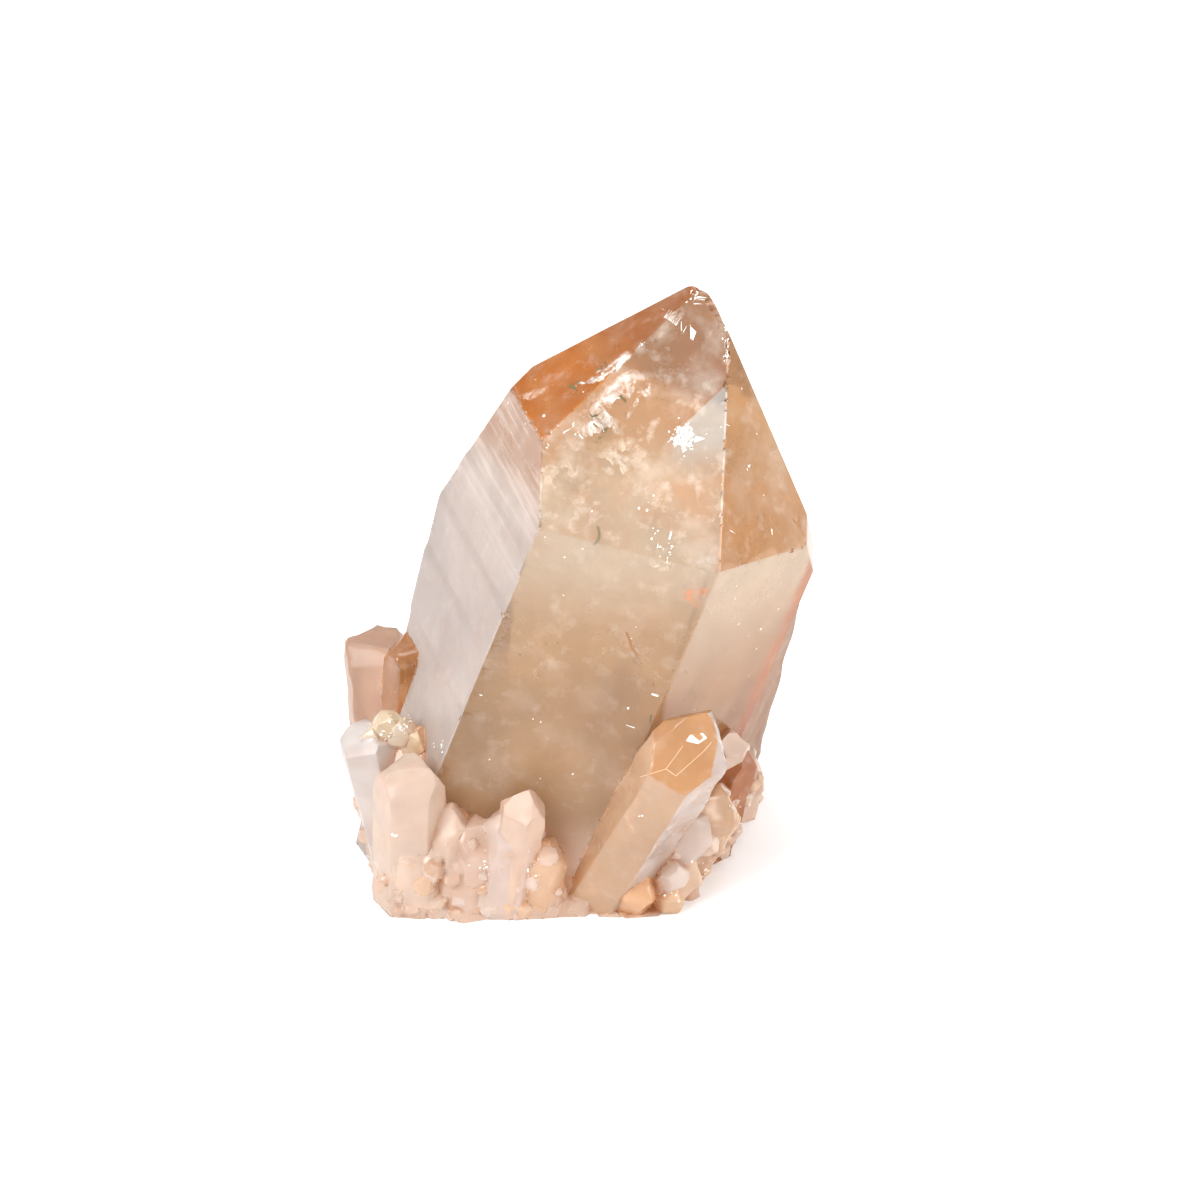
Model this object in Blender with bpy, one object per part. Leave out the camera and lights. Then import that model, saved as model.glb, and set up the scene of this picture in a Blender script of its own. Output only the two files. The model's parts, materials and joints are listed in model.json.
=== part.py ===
"""Citrine crystal: a leaning quartz point that grew together with a base of smaller crystals.

One solid, in metres, +Z up. It stands on the flat face where it was broken from its rock, and the
origin is the point where the axis of the main crystal meets that face. The camera side is -Y.
"""

import math
import random

import bmesh
import bpy
from mathutils import Matrix, Vector

MM = 0.001

# How the main crystal stands, in degrees: from upright, and round +Z from +X
LEAN = 18.2
LEAN_TOWARDS = -11.4

# Half the side of the block that a main crystal is cut from, in mm
BLOCK_HALF = 70.0

# Faces of the main crystal: bearing round its axis and slope from its axis in degrees, and how far the
# face is from the origin in mm
PRISM_FACES = {
    "left": (-159.6, 88.6, 13.27),
    "front": (-97.7, 91.2, 13.15),
    "right": (-41.1, 92.2, 12.33),
    "right_back": (19.9, 90.3, 12.08),
    "back": (82.0, 90.0, 12.2),
    "left_back": (142.1, 101.4, 7.96),
}
TIP_FACES = {
    "left": (-160.5, 49.5, 34.46),
    "front": (-102.7, 52.9, 31.72),
    "right": (-40.0, 53.3, 31.91),
    "right_back": (19.1, 52.6, 30.29),
    "back": (81.0, 52.4, 30.6),
    "left_back": (141.2, 55.1, 30.3),
}
CORNER_FACES = {
    "right_corner": (-9.5, 66.4, 26.43),
    "left_shoulder": (151.9, 73.7, 20.96),
    "broken_apex": (0.0, 11.5, 49.5),
}

# Quartz: slope of the tip faces from the axis, in degrees
TIP_SLOPE = 51.8

# How much further out every second tip face is, as a share of the radius
MINOR_FACE_SET_BACK = 0.34

# How far the main crystal and each smaller one run on below their foot, in mm
MAIN_ROOT = 10.0
ROOT = 5.0

# The second large crystal, behind the main one on the right
SATELLITE_FOOT = (12.6, 4.5, 0.0)
SATELLITE_TIP = (18.8, 2.5, 29.0)
SATELLITE_RADIUS = 7.0
SATELLITE_SPIN = 32

# Smaller crystals that the front shows: foot and tip in mm, radius to a corner in mm, spin in degrees,
# and the share of the tip that is broken off flat
SMALL_CRYSTALS = {
    "back_left_tall": ((-10.6, 0.8, 0.0), (-11.5, 0.3, 18.6), 3.0, 12, 0.75),
    "back_left_brown": ((-8.8, -1.2, 0.0), (-8.4, -2.8, 18.9), 2.3, 40, 0.7),
    "left_outer": ((-8.9, -11.4, 0.0), (-12.3, -7.4, 13.6), 2.5, 10, 0.3),
    "left_middle": ((-9.6, -6.2, 0.0), (-10.9, -5.2, 11.6), 2.5, 35, 0.2),
    "left_inner": ((-8.4, -8.6, 0.0), (-7.9, -9.0, 12.6), 2.2, 5, 0.4),
    "left_front": ((-8.6, -13.4, 0.0), (-8.3, -13.9, 14.1), 3.1, 28, 0.5),
    "left_wedge": ((-5.3, -13.4, 0.0), (-5.2, -14.6, 9.6), 2.4, 5, 0.2),
    "front_peach": ((-3.2, -13.6, 0.0), (-2.8, -14.9, 8.8), 2.3, 44, 0.35),
    "front_body": ((-1.3, -14.1, 0.0), (0.5, -15.4, 10.4), 2.9, 30, 0.6),
    "front_tip": ((-0.5, -14.9, 2.0), (1.1, -16.5, 11.9), 2.1, 4, 0.0),
    "front_jagged": ((1.6, -14.2, 0.0), (2.6, -16.0, 7.2), 1.9, 10, 0.2),
    "right_white": ((8.6, -12.2, 0.0), (15.3, -13.9, 7.9), 1.9, 25, 0.3),
    "right_brown": ((14.6, -5.4, 0.0), (17.4, -6.3, 12.0), 2.7, 15, 0.6),
    "right_tan": ((12.6, -8.8, 0.0), (16.6, -10.0, 8.4), 2.6, 40, 0.3),
    "right_outer": ((14.6, -2.2, 0.0), (19.0, -3.4, 8.4), 2.4, 5, 0.3),
    "right_low": ((11.0, -11.2, 0.0), (14.0, -14.6, 4.6), 2.5, 20, 0.1),
}

# The leaning crystal in front on the right, with one large tip face towards the left
RIGHT_FRONT_FOOT = (6.2, -12.6, 0.0)
RIGHT_FRONT_TIP = (14.8, -18.2, 18.7)
RIGHT_FRONT_RADIUS = 3.4
RIGHT_FRONT_SPIN = 10
RIGHT_FRONT_LOPSIDED = 0.55
RIGHT_FRONT_LOPSIDED_TOWARDS = 250
RIGHT_FRONT_BROKEN = 0.2

# Crystals of the back, set round the rim by rule
RIM_CENTRE = (2.6, -1.2)
RIM_HALF_WIDTH = 13.4
RIM_HALF_DEPTH = 13.0
BACK_FROM = -22
BACK_TO = 170
BACK_COUNT = 23
BACK_RADIUS = (1.7, 3.1)
BACK_INNER = (0.9, 1.0)
BACK_OUTER = (1.02, 1.14)
BACK_INNER_LENGTH = (9.0, 16.0)
BACK_OUTER_LENGTH = (4.0, 9.0)
BACK_LEAN = (3, 20)

# Crystals that fill the front, set in rows from left to right by rule: how high they reach at each x,
# and for each row its y, its share of that height and the radii of its crystals, all in mm
SKYLINE = ((-12.0, 9.0), (-5.0, 9.0), (-1.5, 8.0), (2.0, 7.0), (3.6, 4.2), (5.5, 2.4), (9.0, 3.2), (13.6, 2.6))
FRONT_ROWS = ((-13.9, 0.85, (2.0, 2.9)), (-14.6, 0.55, (1.7, 2.5)), (-15.2, 0.28, (1.2, 2.0)))
FRONT_LEFT = -7.9
FRONT_RIGHT = 13.0
FRONT_STEP = 2.1

# The mass of the base that all crystals grow from
MASS_RADIUS = 13.2
MASS_TOP_RADIUS = 11.0
MASS_HEIGHT = 5.0
LUMP_COUNT = 16
LUMP_RADIUS = (2.2, 3.2)
LUMP_ROUGHNESS = 0.16

# Chips along the edge that runs down from the apex: points of the edge, and for each chip how many
# of the edge's legs it is from the apex and its radius in mm
CHIPPED_EDGE = ((14.8, -3.9, 48.8), (16.5, -6.0, 46.1), (16.3, -9.3, 41.5))
CHIPS = ((0.1, 0.8), (0.5, 0.6), (0.85, 0.75), (1.15, 0.5), (1.55, 0.38))
CHIP_ROUGHNESS = 0.3

# Ledges on the main crystal's left face: from and to along its axis, and how far each stands out, in mm
LEDGES = ((9.0, 26.2, 0.14), (28.6, 31.4, 0.12), (15.5, 21.8, 0.26))
LEDGE_TILT = 2.0
LEDGE_INSET = 0.04

GROUND_DEPTH = 30.0


def unit_normal(bearing, slope):
    """The outward normal of a face, from its bearing round +Z and its slope from +Z in degrees."""
    round_axis = math.radians(bearing)
    from_axis = math.radians(slope)
    return Vector((
        math.sin(from_axis) * math.cos(round_axis),
        math.sin(from_axis) * math.sin(round_axis),
        math.cos(from_axis),
    ))


def block_cut_by(planes, half):
    """A block of this half side with all that lies outside the planes cut away, in mm."""
    mesh = bmesh.new()
    bmesh.ops.create_cube(mesh, size=2 * half)
    for normal, distance in planes:
        everything = mesh.verts[:] + mesh.edges[:] + mesh.faces[:]
        cut = bmesh.ops.bisect_plane(
            mesh, geom=everything, dist=1e-5, plane_co=normal * distance, plane_no=normal, clear_outer=True
        )
        rim = [item for item in cut["geom_cut"] if isinstance(item, bmesh.types.BMEdge)]
        if rim:
            bmesh.ops.edgeloop_fill(mesh, edges=rim)
    bmesh.ops.recalc_face_normals(mesh, faces=mesh.faces[:])
    return mesh


def object_from(mesh, name, matrix, collection):
    """Turns a bmesh in mm into an object in metres."""
    bmesh.ops.transform(mesh, matrix=Matrix.Scale(MM, 4) @ matrix, verts=mesh.verts[:])
    data = bpy.data.meshes.new(name)
    mesh.to_mesh(data)
    mesh.free()
    made = bpy.data.objects.new(name, data)
    collection.objects.link(made)
    return made


def main_lean():
    """Turns the main crystal from upright to where it leans."""
    towards = Matrix.Rotation(math.radians(LEAN_TOWARDS), 4, "Z")
    lean = Matrix.Rotation(math.radians(LEAN), 4, "Y")
    return towards @ lean @ towards.inverted()


def main_planes():
    """Faces of the main crystal, as if it stood upright."""
    planes = {"cut_end": (unit_normal(0, 180), MAIN_ROOT)}
    for kind, faces in (("prism", PRISM_FACES), ("tip", TIP_FACES), ("corner", CORNER_FACES)):
        for side, (bearing, slope, distance) in faces.items():
            planes[f"{kind}_{side}"] = (unit_normal(bearing, slope), distance)
    return planes


def main_crystal(name, collection):
    return object_from(block_cut_by(main_planes().values(), BLOCK_HALF), name, main_lean(), collection)


def ledges(collection):
    """Bands across the left face that stand out a little, where the crystal grew in steps."""
    for number, (bottom, top, proud) in enumerate(LEDGES):
        planes = {face: (normal, distance - LEDGE_INSET) for face, (normal, distance) in main_planes().items()}
        normal, distance = planes["prism_left"]
        planes["prism_left"] = (normal, distance + LEDGE_INSET + proud)
        planes["ledge_top"] = (unit_normal(30, LEDGE_TILT), top)
        planes["ledge_bottom"] = (unit_normal(210, 180 - LEDGE_TILT), -bottom)
        object_from(block_cut_by(planes.values(), BLOCK_HALF), f"ledge_{number}", main_lean(), collection)


def quartz_planes(length, radius, spin, broken, rng, lopsided=0.0, lopsided_towards=0.0):
    """Faces of an upright quartz point with its foot at the origin and its apex at this length."""
    planes = [(unit_normal(0, 180), ROOT)]
    for side in range(6):
        bearing = spin + 60 * side
        reach = radius * math.cos(math.radians(30)) * rng.uniform(0.88, 1.08)
        planes.append((unit_normal(bearing, 90), reach))
        apex = length + MINOR_FACE_SET_BACK * radius * (side % 2) * rng.uniform(0.6, 1.3)
        apex -= lopsided * radius * math.cos(math.radians(bearing - lopsided_towards))
        planes.append((unit_normal(bearing, TIP_SLOPE), apex * math.cos(math.radians(TIP_SLOPE))))
    if broken:
        slope = rng.uniform(4, 16)
        bearing = rng.uniform(0, 360)
        planes.append((unit_normal(bearing, slope), length - broken * radius))
    return planes


def quartz_point(name, foot, tip, radius, spin, broken, rng, collection, **lopsided):
    """A small crystal that stands with its foot and its apex at these points, in mm."""
    foot = Vector(foot)
    along = Vector(tip) - foot
    planes = quartz_planes(along.length, radius, spin, broken, rng, **lopsided)
    upright = along.normalized()
    across = Vector((1, 0, 0)).cross(upright).normalized().cross(upright) * -1
    depth = upright.cross(across)
    stand = Matrix((across, depth, upright)).transposed().to_4x4()
    stand.translation = foot
    return object_from(block_cut_by(planes, along.length + ROOT), name, stand, collection)


def on_rim(bearing, share):
    """A point of the base's outline, drawn in towards its middle by this share."""
    turn = math.radians(bearing)
    x = RIM_CENTRE[0] + RIM_HALF_WIDTH * share * math.cos(turn)
    y = RIM_CENTRE[1] + RIM_HALF_DEPTH * share * math.sin(turn)
    return Vector((x, y, 0.0))


def back_crystals(collection, rng):
    for number in range(BACK_COUNT):
        bearing = BACK_FROM + (BACK_TO - BACK_FROM) * number / (BACK_COUNT - 1) + rng.uniform(-4, 4)
        outer = number % 2
        foot = on_rim(bearing, rng.uniform(*(BACK_OUTER if outer else BACK_INNER)))
        length = rng.uniform(*(BACK_OUTER_LENGTH if outer else BACK_INNER_LENGTH))
        lean = math.radians(rng.uniform(*BACK_LEAN))
        out = unit_normal(bearing + rng.uniform(-25, 25), math.degrees(lean))
        radius = rng.uniform(*BACK_RADIUS)
        broken = rng.choice((0.0, 0.2, 0.6))
        quartz_point(
            f"back_{number:02d}", foot, foot + out * length, radius, rng.uniform(0, 60), broken, rng, collection
        )


def skyline(x):
    """How high the front row reaches at this x, between the points of SKYLINE."""
    for (left, low), (right, high) in zip(SKYLINE, SKYLINE[1:]):
        if x <= right:
            return low + (high - low) * (x - left) / (right - left)
    return SKYLINE[-1][1]


def front_rows(collection, rng):
    for row, (y, share, radii) in enumerate(FRONT_ROWS):
        count = int((FRONT_RIGHT - FRONT_LEFT) / FRONT_STEP)
        for number in range(count):
            x = FRONT_LEFT + FRONT_STEP * (number + 0.5 * (row % 2)) + rng.uniform(-0.4, 0.4)
            foot = Vector((x, y + rng.uniform(-0.2, 0.5), 0.0))
            rise = skyline(x) * share * rng.uniform(0.75, 1.1)
            tip = foot + Vector((rng.uniform(-0.16, 0.22) * rise, -rng.uniform(0.0, 0.16) * rise, rise))
            broken = rng.choice((0.1, 0.4, 0.7))
            quartz_point(
                f"front_{row}_{number:02d}", foot, tip, rng.uniform(*radii), rng.uniform(0, 60), broken, rng,
                collection,
            )


def base_mass(collection, rng):
    mesh = bmesh.new()
    bmesh.ops.create_cone(
        mesh, cap_ends=True, segments=18, radius1=MASS_RADIUS, radius2=MASS_TOP_RADIUS, depth=2 * MASS_HEIGHT
    )
    for vert in mesh.verts:
        vert.co.xy *= rng.uniform(0.93, 1.05)
    centre = Vector((RIM_CENTRE[0], RIM_CENTRE[1], 0.0))
    object_from(mesh, "mass", Matrix.Translation(centre), collection)


def rim_lumps(collection, rng):
    for number in range(LUMP_COUNT):
        mesh = bmesh.new()
        bmesh.ops.create_icosphere(mesh, subdivisions=1, radius=rng.uniform(*LUMP_RADIUS))
        for vert in mesh.verts:
            vert.co *= 1 + rng.uniform(-LUMP_ROUGHNESS, LUMP_ROUGHNESS)
        place = on_rim(360 * number / LUMP_COUNT + rng.uniform(-6, 6), rng.uniform(0.84, 0.95))
        place.z = rng.uniform(0.6, 2.6)
        turn = Matrix.Rotation(rng.uniform(0, math.tau), 4, "Z")
        object_from(mesh, f"lump_{number:02d}", Matrix.Translation(place) @ turn, collection)


def edge_chips(collection, rng):
    corners = [Vector(corner) for corner in CHIPPED_EDGE]
    for number, (legs, radius) in enumerate(CHIPS):
        mesh = bmesh.new()
        bmesh.ops.create_icosphere(mesh, subdivisions=1, radius=radius)
        for vert in mesh.verts:
            vert.co *= 1 + rng.uniform(-CHIP_ROUGHNESS, CHIP_ROUGHNESS)
        leg = int(legs)
        place = corners[leg].lerp(corners[leg + 1], legs - leg)
        object_from(mesh, f"chip_{number}", Matrix.Translation(place), collection)


def ground_block(collection):
    mesh = bmesh.new()
    bmesh.ops.create_cube(mesh, size=2 * BLOCK_HALF)
    squash = Matrix.Scale(GROUND_DEPTH / (2 * BLOCK_HALF), 4, Vector((0, 0, 1)))
    sink = Matrix.Translation(Vector((0, 0, -GROUND_DEPTH / 2)))
    object_from(mesh, "ground", sink @ squash, collection)


def helper_collection(name):
    made = bpy.data.collections.new(name)
    bpy.context.scene.collection.children.link(made)
    return made


def hide_helpers(collection):
    for helper in collection.objects:
        helper.hide_render = True
        helper.display_type = "WIRE"


def add_boolean(target, name, operation, collection):
    boolean = target.modifiers.new(name, "BOOLEAN")
    boolean.operation = operation
    boolean.operand_type = "COLLECTION"
    boolean.collection = collection
    boolean.solver = "EXACT"


def citrine_material():
    material = bpy.data.materials.new("citrine")
    material.use_nodes = True
    shader = material.node_tree.nodes["Principled BSDF"]
    shader.inputs["Base Color"].default_value = (0.68, 0.42, 0.24, 1)
    shader.inputs["Roughness"].default_value = 0.12
    shader.inputs["Metallic"].default_value = 0.0
    shader.inputs["IOR"].default_value = 1.544
    shader.inputs["Transmission Weight"].default_value = 0.6
    return material


for old in list(bpy.data.objects):
    bpy.data.objects.remove(old, do_unlink=True)

random_source = random.Random(7)
grown = helper_collection("grown_together")
chipped = helper_collection("chipped_off")
below = helper_collection("below_the_cut")

crystal = main_crystal("citrine_crystal", bpy.context.scene.collection)
crystal.data.materials.append(citrine_material())

quartz_point(
    "satellite", SATELLITE_FOOT, SATELLITE_TIP, SATELLITE_RADIUS, SATELLITE_SPIN, 0, random_source, grown
)
for crystal_name, (foot, tip, radius, spin, broken) in SMALL_CRYSTALS.items():
    quartz_point(crystal_name, foot, tip, radius, spin, broken, random_source, grown)
quartz_point(
    "right_front", RIGHT_FRONT_FOOT, RIGHT_FRONT_TIP, RIGHT_FRONT_RADIUS, RIGHT_FRONT_SPIN, RIGHT_FRONT_BROKEN,
    random_source, grown, lopsided=RIGHT_FRONT_LOPSIDED, lopsided_towards=RIGHT_FRONT_LOPSIDED_TOWARDS,
)
back_crystals(grown, random_source)
front_rows(grown, random_source)
base_mass(grown, random_source)
rim_lumps(grown, random_source)
ledges(grown)
edge_chips(chipped, random_source)
ground_block(below)

for helpers in (grown, chipped, below):
    hide_helpers(helpers)
add_boolean(crystal, "grown together", "UNION", grown)
add_boolean(crystal, "chips", "DIFFERENCE", chipped)
add_boolean(crystal, "flat cut", "DIFFERENCE", below)
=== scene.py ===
import json
import math
import random

import bmesh
import bpy
from mathutils import Matrix, Vector, noise
from mathutils.bvhtree import BVHTree

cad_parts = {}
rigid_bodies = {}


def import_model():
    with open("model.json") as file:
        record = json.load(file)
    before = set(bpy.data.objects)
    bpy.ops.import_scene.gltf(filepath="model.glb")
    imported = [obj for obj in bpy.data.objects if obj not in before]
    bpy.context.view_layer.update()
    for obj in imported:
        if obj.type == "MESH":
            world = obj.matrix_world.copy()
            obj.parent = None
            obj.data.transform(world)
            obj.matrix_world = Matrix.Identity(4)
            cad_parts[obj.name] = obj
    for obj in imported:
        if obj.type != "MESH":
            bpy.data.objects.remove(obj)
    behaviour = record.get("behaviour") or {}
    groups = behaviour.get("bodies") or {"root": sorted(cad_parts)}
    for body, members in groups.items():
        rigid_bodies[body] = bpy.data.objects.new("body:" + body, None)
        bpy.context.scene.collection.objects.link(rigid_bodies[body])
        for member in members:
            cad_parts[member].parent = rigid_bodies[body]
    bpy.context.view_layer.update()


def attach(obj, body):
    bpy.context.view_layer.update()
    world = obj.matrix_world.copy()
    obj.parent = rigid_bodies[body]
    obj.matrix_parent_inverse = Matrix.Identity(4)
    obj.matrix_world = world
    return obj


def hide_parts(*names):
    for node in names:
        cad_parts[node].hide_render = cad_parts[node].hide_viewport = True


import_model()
scene = bpy.context.scene


# The studio: a white sweep of card, a broad soft light from the left in front, a weaker one from the
# right and one from above. They are not part of the object. The camera looks at it from the front and
# from 27 degrees above, as the photograph does.

MM = 0.001
LOOKED_AT = Vector((6.67, -1.35, 20.72)) * MM
CAMERA_DISTANCE = 0.36
CAMERA_ELEVATION = 27
LENS = 135
FLOOR_HALF = 3.0
FLOOR_COLOUR = (0.93, 0.935, 0.945, 1)
WORLD_STRENGTH = 0.68
SOFT_LIGHTS = {
    # name: (place in m, size in m, power in W)
    "key": ((-0.42, -0.34, 0.42), (0.42, 0.42), 4.2),
    "fill": ((0.46, -0.16, 0.26), (0.3, 0.4), 1.95),
    "top": ((0.02, 0.12, 0.62), (0.5, 0.4), 2.5),
}

camera_data = bpy.data.cameras.new("camera")
camera_data.lens = LENS
camera_data.sensor_width = 36
camera_data.clip_start = 0.01
camera_data.dof.use_dof = False
camera = bpy.data.objects.new("camera", camera_data)
scene.collection.objects.link(camera)
elevation = math.radians(CAMERA_ELEVATION)
camera.location = LOOKED_AT + Vector((0, -math.cos(elevation), math.sin(elevation))) * CAMERA_DISTANCE
camera.rotation_euler = (LOOKED_AT - camera.location).to_track_quat("-Z", "Y").to_euler()
scene.camera = camera

floor_mesh = bmesh.new()
bmesh.ops.create_grid(floor_mesh, x_segments=1, y_segments=1, size=FLOOR_HALF)
floor_data = bpy.data.meshes.new("floor")
floor_mesh.to_mesh(floor_data)
floor_mesh.free()
floor = bpy.data.objects.new("floor", floor_data)
floor.location.z = -0.00002
scene.collection.objects.link(floor)
floor_material = bpy.data.materials.new("white_card")
floor_material.use_nodes = True
floor_shader = floor_material.node_tree.nodes["Principled BSDF"]
floor_shader.inputs["Base Color"].default_value = FLOOR_COLOUR
floor_shader.inputs["Roughness"].default_value = 0.9
floor_shader.inputs["Specular IOR Level"].default_value = 0.1
floor_data.materials.append(floor_material)

world = bpy.data.worlds.new("studio")
scene.world = world
world.use_nodes = True
world.node_tree.nodes["Background"].inputs["Color"].default_value = (0.97, 0.985, 1.0, 1)
world.node_tree.nodes["Background"].inputs["Strength"].default_value = WORLD_STRENGTH

for light_name, (place, size, power) in SOFT_LIGHTS.items():
    light_data = bpy.data.lights.new(light_name, "AREA")
    light_data.shape = "RECTANGLE"
    light_data.size = size[0]
    light_data.size_y = size[1]
    light_data.energy = power
    light = bpy.data.objects.new(light_name, light_data)
    light.location = place
    light.rotation_euler = (LOOKED_AT - light.location).to_track_quat("-Z", "Y").to_euler()
    scene.collection.objects.link(light)

scene.view_settings.view_transform = "Standard"
scene.view_settings.look = "None"


# The crystal: one large quartz point, honey-coloured and cloudy, that leans to the right. A second
# large one stands behind it and a collar of small crystals and lumps surrounds its foot. All of it grew
# together from one rock, so it is one closed body, broken off and cut flat underneath.

LEAN = 18.2
LEAN_TOWARDS = -11.4
BLOCK_HALF = 70.0
PRISM_FACES = {
    "left": (-159.6, 88.6, 13.27),
    "front": (-97.7, 91.2, 13.15),
    "right": (-41.1, 92.2, 12.33),
    "right_back": (19.9, 90.3, 12.08),
    "back": (82.0, 90.0, 12.2),
    "left_back": (142.1, 101.4, 7.96),
}
TIP_FACES = {
    "left": (-160.5, 49.5, 34.46),
    "front": (-102.7, 52.9, 31.72),
    "right": (-40.0, 53.3, 31.91),
    "right_back": (19.1, 52.6, 30.29),
    "back": (81.0, 52.4, 30.6),
    "left_back": (141.2, 55.1, 30.3),
}
CORNER_FACES = {
    "right_corner": (-9.5, 66.4, 26.43),
    "left_shoulder": (151.9, 73.7, 20.96),
    "broken_apex": (0.0, 11.5, 49.5),
}
TIP_SLOPE = 51.8
MINOR_FACE_SET_BACK = 0.34
MAIN_ROOT = 10.0
ROOT = 5.0

SATELLITE_FOOT = (12.6, 4.5, 0.0)
SATELLITE_TIP = (18.8, 2.5, 29.0)
SATELLITE_RADIUS = 7.0
SATELLITE_SPIN = 32

# Foot and tip in mm, radius to a corner in mm, spin in degrees, share of the tip that is broken off
SMALL_CRYSTALS = {
    "back_left_tall": ((-10.6, 0.8, 0.0), (-11.5, 0.3, 18.6), 3.0, 12, 0.75),
    "back_left_brown": ((-8.8, -1.2, 0.0), (-8.4, -2.8, 18.9), 2.3, 40, 0.7),
    "left_outer": ((-8.9, -11.4, 0.0), (-12.3, -7.4, 13.6), 2.5, 10, 0.3),
    "left_middle": ((-9.6, -6.2, 0.0), (-10.9, -5.2, 11.6), 2.5, 35, 0.2),
    "left_inner": ((-8.4, -8.6, 0.0), (-7.9, -9.0, 12.6), 2.2, 5, 0.4),
    "left_front": ((-8.6, -13.4, 0.0), (-8.3, -13.9, 14.1), 3.1, 28, 0.5),
    "left_wedge": ((-5.3, -13.4, 0.0), (-5.2, -14.6, 9.6), 2.4, 5, 0.2),
    "front_peach": ((-3.2, -13.6, 0.0), (-2.8, -14.9, 8.8), 2.3, 44, 0.35),
    "front_body": ((-1.3, -14.1, 0.0), (0.5, -15.4, 10.4), 2.9, 30, 0.6),
    "front_tip": ((-0.5, -14.9, 2.0), (1.1, -16.5, 11.9), 2.1, 4, 0.0),
    "front_jagged": ((1.6, -14.2, 0.0), (2.6, -16.0, 7.2), 1.9, 10, 0.2),
    "right_white": ((8.6, -12.2, 0.0), (15.3, -13.9, 7.9), 1.9, 25, 0.3),
    "right_brown": ((14.6, -5.4, 0.0), (17.4, -6.3, 12.0), 2.7, 15, 0.6),
    "right_tan": ((12.6, -8.8, 0.0), (16.6, -10.0, 8.4), 2.6, 40, 0.3),
    "right_outer": ((14.6, -2.2, 0.0), (19.0, -3.4, 8.4), 2.4, 5, 0.3),
    "right_low": ((11.0, -11.2, 0.0), (14.0, -14.6, 4.6), 2.5, 20, 0.1),
}
RIGHT_FRONT_FOOT = (6.2, -12.6, 0.0)
RIGHT_FRONT_TIP = (14.8, -18.2, 18.7)
RIGHT_FRONT_RADIUS = 3.4
RIGHT_FRONT_SPIN = 10
RIGHT_FRONT_LOPSIDED = 0.55
RIGHT_FRONT_LOPSIDED_TOWARDS = 250
RIGHT_FRONT_BROKEN = 0.2

RIM_CENTRE = (2.6, -1.2)
RIM_HALF_WIDTH = 13.4
RIM_HALF_DEPTH = 13.0
BACK_FROM = -22
BACK_TO = 170
BACK_COUNT = 23
BACK_RADIUS = (1.7, 3.1)
BACK_INNER = (0.9, 1.0)
BACK_OUTER = (1.02, 1.14)
BACK_INNER_LENGTH = (9.0, 16.0)
BACK_OUTER_LENGTH = (4.0, 9.0)
BACK_LEAN = (3, 20)

SKYLINE = (
    (-12.0, 9.0), (-5.0, 9.0), (-1.5, 8.0), (2.0, 7.0), (3.6, 4.2), (5.5, 2.4), (9.0, 3.2), (13.6, 2.6),
)
FRONT_ROWS = ((-13.9, 0.85, (2.0, 2.9)), (-14.6, 0.55, (1.7, 2.5)), (-15.2, 0.28, (1.2, 2.0)))
FRONT_LEFT = -7.9
FRONT_RIGHT = 13.0
FRONT_STEP = 2.1

MASS_RADIUS = 13.2
MASS_TOP_RADIUS = 11.0
MASS_HEIGHT = 5.0
LUMP_COUNT = 16
LUMP_RADIUS = (2.2, 3.2)
LUMP_ROUGHNESS = 0.16

# Broken edges: two ends in mm, how many chips, their radii and how deep they bite, in mm
CHIPPED_EDGES = (
    ((13.9, -3.3, 49.3), (15.4, -4.4, 48.4), 7, (0.45, 0.8), 0.24),
    ((15.4, -4.4, 48.4), (16.5, -6.0, 46.1), 10, (0.35, 0.75), 0.3),
    ((16.5, -6.0, 46.1), (16.3, -9.3, 41.5), 11, (0.2, 0.5), 0.14),
    ((16.3, -9.3, 41.5), (15.8, -16.2, 31.6), 8, (0.15, 0.3), 0.07),
    ((13.9, -3.9, 49.1), (2.25, -10.98, 39.31), 16, (0.15, 0.36), 0.08),
    ((2.04, -14.97, 33.69), (-6.0, -12.9, 12.0), 9, (0.1, 0.26), 0.05),
    ((2.25, -10.98, 39.31), (2.04, -14.97, 33.69), 5, (0.15, 0.3), 0.08),
    ((15.74, -16.84, 30.82), (22.75, -8.25, 28.92), 7, (0.15, 0.3), 0.07),
    ((-0.27, -3.82, 40.43), (2.25, -10.98, 39.31), 6, (0.15, 0.3), 0.08),
)
CHIP_SIDES = 9
GROUND_DEPTH = 30.0

# How wide the worn edges are, in mm
MAIN_EDGE = 0.16
SMALL_EDGE = 0.09


def unit_normal(bearing, slope):
    """The outward normal of a face, from its bearing round +Z and its slope from +Z in degrees."""
    round_axis = math.radians(bearing)
    from_axis = math.radians(slope)
    return Vector((
        math.sin(from_axis) * math.cos(round_axis),
        math.sin(from_axis) * math.sin(round_axis),
        math.cos(from_axis),
    ))


def cut_by(mesh, planes):
    """Cuts away what lies outside each plane and closes the cut."""
    for normal, distance in planes:
        everything = mesh.verts[:] + mesh.edges[:] + mesh.faces[:]
        cut = bmesh.ops.bisect_plane(
            mesh, geom=everything, dist=1e-5, plane_co=normal * distance, plane_no=normal, clear_outer=True
        )
        rim = [item for item in cut["geom_cut"] if isinstance(item, bmesh.types.BMEdge)]
        if rim:
            bmesh.ops.edgeloop_fill(mesh, edges=rim)
    bmesh.ops.recalc_face_normals(mesh, faces=mesh.faces[:])


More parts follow.
